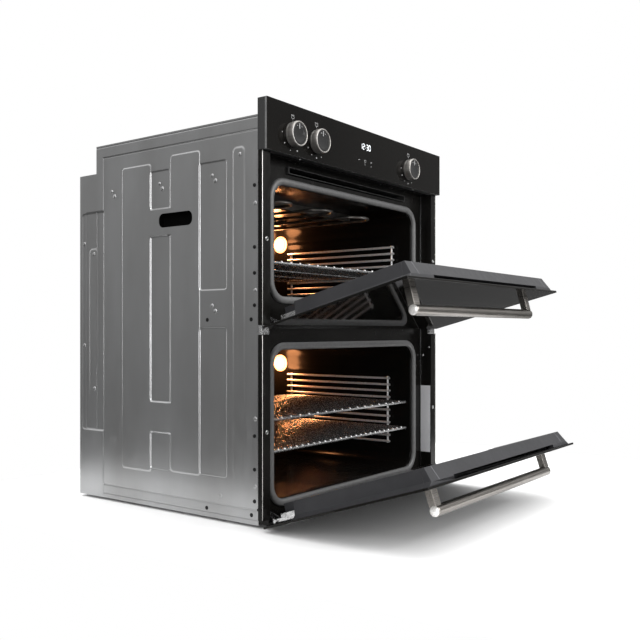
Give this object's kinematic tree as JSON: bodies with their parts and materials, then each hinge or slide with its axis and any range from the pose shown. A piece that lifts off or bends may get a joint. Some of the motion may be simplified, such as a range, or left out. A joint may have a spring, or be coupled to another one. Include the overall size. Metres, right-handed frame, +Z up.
{
  "type": "built-under double oven",
  "caption": "Built-under double oven: steel case, grill oven over fan oven, two drop-down glass doors with bar handles, control panel with turning knobs.",
  "frame": {"origin": "centre of the case's footprint, on the underside of the base panel", "axes": "+X to the right seen from the front, +Y from the front to the back, +Z up; the doors open towards -Y"},
  "size_m": [0.594, 0.8137, 0.717],
  "materials": {
    "galvanised_steel": "satin",
    "insulation_wool": "matte",
    "dark_screw": "satin",
    "black_frame_paint": "gloss",
    "hinge_steel": "satin",
    "duct_steel": "satin",
    "black_enamel": "gloss",
    "seal_rubber": "matte",
    "element_sheath": "satin",
    "motor_steel": "satin",
    "fan_aluminium": "satin",
    "lamp_glass": "gloss",
    "holder_ceramic": "matte",
    "chrome_wire": "polished",
    "black_glass": "gloss",
    "panel_plastic": "matte",
    "circuit_board": "matte",
    "brushed_nickel": "brushed",
    "knob_black": "gloss",
    "door_charcoal": "satin",
    "inner_glass": "gloss"
  },
  "bodies": {
    "case": {"base_panel": "galvanised_steel", "left_side_panel": "galvanised_steel", "right_side_panel": "galvanised_steel", "top_panel": "galvanised_steel", "rear_panel": "galvanised_steel", "rear_cover": "galvanised_steel", "insulation": "insulation_wool", "case_screws": "dark_screw", "front_frame": "black_frame_paint", "left_flange": "black_frame_paint", "right_flange": "black_frame_paint", "middle_brackets": "galvanised_steel", "hinge_receivers": "hinge_steel", "air_duct": "duct_steel", "upper_oven": "black_enamel", "lower_oven": "black_enamel", "upper_seal": "seal_rubber", "lower_seal": "seal_rubber", "grill_element": "element_sheath", "base_element": "element_sheath", "ring_element": "element_sheath", "fan_baffle": "black_enamel", "fan_motor": "motor_steel", "lamp_lenses": "lamp_glass", "lamp_holders": "holder_ceramic", "upper_runners": "chrome_wire", "lower_runners": "chrome_wire", "upper_shelf": "chrome_wire", "lower_oven_top_shelf": "chrome_wire", "lower_oven_bottom_shelf": "chrome_wire", "blower_housing": "duct_steel", "blower_motor": "motor_steel", "control_glass": "black_glass", "control_housing": "panel_plastic", "display_module": "circuit_board", "switch_bodies": "holder_ceramic", "terminal_block": "holder_ceramic", "terminal_cover": "panel_plastic"},
    "upper_door": {"upper_door_glass": "black_glass", "upper_door_frame": "door_charcoal", "upper_door_trim": "door_charcoal", "upper_door_inner_glass": "inner_glass", "upper_hinge_arms": "hinge_steel", "upper_handle_bar": "brushed_nickel", "upper_handle_posts": "brushed_nickel"},
    "lower_door": {"lower_door_glass": "black_glass", "lower_door_frame": "door_charcoal", "lower_door_trim": "door_charcoal", "lower_door_inner_glass": "inner_glass", "lower_hinge_arms": "hinge_steel", "lower_handle_bar": "brushed_nickel", "lower_handle_posts": "brushed_nickel"},
    "left_knob": {"left_knob": "brushed_nickel", "left_knob_face": "knob_black"},
    "middle_knob": {"middle_knob": "brushed_nickel", "middle_knob_face": "knob_black"},
    "right_knob": {"right_knob": "brushed_nickel", "right_knob_face": "knob_black"},
    "oven_fan": {"oven_fan": "fan_aluminium"},
    "blower_wheel": {"blower_wheel": "fan_aluminium"}
  },
  "joints": [
    {"name": "upper_door_hinge", "type": "hinge", "parent": "case", "child": "upper_door", "pos_m": [0, -0.2665, 0.342], "axis": [1, 0, 0], "range_deg": [-75, 15]},
    {"name": "lower_door_hinge", "type": "hinge", "parent": "case", "child": "lower_door", "pos_m": [0, -0.2665, 0.01], "axis": [1, 0, 0], "range_deg": [-72, 9]},
    {"name": "left_knob_turn", "type": "hinge", "parent": "case", "child": "left_knob", "pos_m": [-0.228, -0.2725, 0.6655], "axis": [0, 1, 0], "range_deg": [0, 270]},
    {"name": "middle_knob_turn", "type": "hinge", "parent": "case", "child": "middle_knob", "pos_m": [-0.16, -0.2725, 0.6655], "axis": [0, 1, 0], "range_deg": [0, 270]},
    {"name": "right_knob_turn", "type": "hinge", "parent": "case", "child": "right_knob", "pos_m": [0.16, -0.2725, 0.6655], "axis": [0, 1, 0], "range_deg": [0, 270]},
    {"name": "oven_fan_spin", "type": "hinge", "parent": "case", "child": "oven_fan", "pos_m": [0, 0.14, 0.1655], "axis": [0, 1, 0], "continuous": true},
    {"name": "blower_spin", "type": "hinge", "parent": "case", "child": "blower_wheel", "pos_m": [0, 0.06, 0.648], "axis": [1, 0, 0], "continuous": true}
  ]
}
